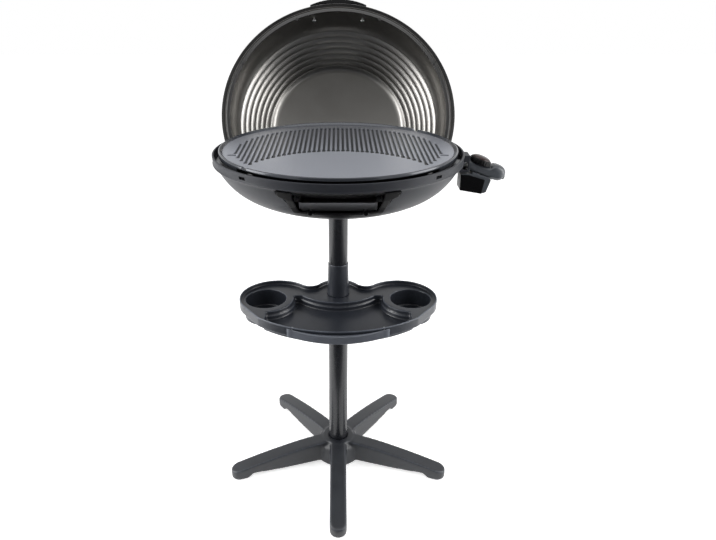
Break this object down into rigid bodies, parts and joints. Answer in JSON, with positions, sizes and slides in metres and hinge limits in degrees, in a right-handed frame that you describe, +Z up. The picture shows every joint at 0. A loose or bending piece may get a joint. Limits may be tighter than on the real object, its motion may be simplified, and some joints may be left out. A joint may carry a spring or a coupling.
{
  "type": "pedestal electric grill",
  "caption": "Oval electric grill on a pedestal: ribbed plate over a bowl with drip drawer, hinged dome lid, plug-in thermostat, tray with cup wells and a star foot.",
  "frame": {"origin": "on the floor, on the axis of the pole", "axes": "+Z up, -Y towards the cook, +X towards the plug-in control"},
  "size_m": [0.6138, 0.6652, 1.0665],
  "materials": {
    "charcoal_plastic": "fine moulded grain",
    "graphite_plastic": "moulded, satin",
    "black_plastic": "satin black",
    "pole_paint": "powder coated tube",
    "foot_plastic": "fine moulded grain",
    "rubber": "moulded rubber",
    "steel": "zinc plated",
    "reflector_steel": "aluminised",
    "drip_metal": "pressed",
    "plate_coating": "non-stick coated die casting",
    "element_sheath": "oxidised sheath",
    "lid_sheet": "metallic heat resistant coat",
    "lens": "tinted clear"
  },
  "bodies": {
    "stand": {"star_foot": "foot_plastic", "foot_pads": "rubber", "hub_bolt": "steel", "hub_washer": "steel", "tube_plug": "steel", "lower_tube": "pole_paint", "tray_collar": "charcoal_plastic", "collar_screw": "steel", "tray": "charcoal_plastic", "tray_front_rail": "graphite_plastic", "tray_rail_screws": "steel", "tube_sleeve": "charcoal_plastic", "upper_tube": "pole_paint"},
    "grill_head": {"bowl": "graphite_plastic", "head_socket": "charcoal_plastic", "socket_screws": "steel", "heat_reflector": "reflector_steel", "heating_element": "element_sheath", "element_clips": "steel", "terminal_block": "black_plastic", "terminal_pins": "steel", "terminal_shroud": "graphite_plastic", "drip_rails": "steel", "hinge_bracket_left": "charcoal_plastic", "hinge_bracket_right": "charcoal_plastic", "hinge_pins": "steel", "lid_stops": "steel", "hinge_bracket_screws": "steel"},
    "plate": {"grill_plate": "plate_coating"},
    "drip_drawer": {"drip_tray": "drip_metal", "drip_tray_handle": "black_plastic", "drip_tray_screws": "steel"},
    "lid": {"lid_shell": "lid_sheet", "lid_drip_lip": "lid_sheet", "lid_bumpers": "rubber", "lid_handle": "black_plastic", "lid_handle_screws": "steel", "lid_arm_left": "pole_paint", "lid_arm_right": "pole_paint", "lid_arm_rivets": "steel"},
    "control": {"control_housing_upper": "graphite_plastic", "control_housing_lower": "graphite_plastic", "control_box": "graphite_plastic", "control_box_cover": "black_plastic", "probe_rod": "steel", "contact_block": "black_plastic", "bimetal_switch": "steel", "control_screws": "steel", "cord_gland": "rubber"},
    "knob": {"control_knob": "black_plastic", "knob_shaft": "steel", "indicator_lens": "lens"}
  },
  "joints": [
    {"name": "head_lift", "type": "slide", "parent": "stand", "child": "grill_head", "axis": [0, 0, 1], "range_m": [0, 0.05]},
    {"name": "lid_hinge", "type": "hinge", "parent": "grill_head", "child": "lid", "pos_m": [0, 0.10291, 0.75347], "axis": [1, 0, 0], "range_deg": [0, 116]},
    {"name": "plate_lift", "type": "slide", "parent": "grill_head", "child": "plate", "axis": [0, 0, 1], "range_m": [0, 0.06]},
    {"name": "drip_tray_slide", "type": "slide", "parent": "grill_head", "child": "drip_drawer", "axis": [0, -1, 0], "range_m": [0, 0.16]},
    {"name": "control_pull", "type": "slide", "parent": "grill_head", "child": "control", "axis": [1, 0, 0], "range_m": [0, 0.08]},
    {"name": "knob_turn", "type": "hinge", "parent": "control", "child": "knob", "pos_m": [0.29148, 0, 0.76617], "axis": [0.342, 0, 0.9397], "range_deg": [0, 270]}
  ]
}
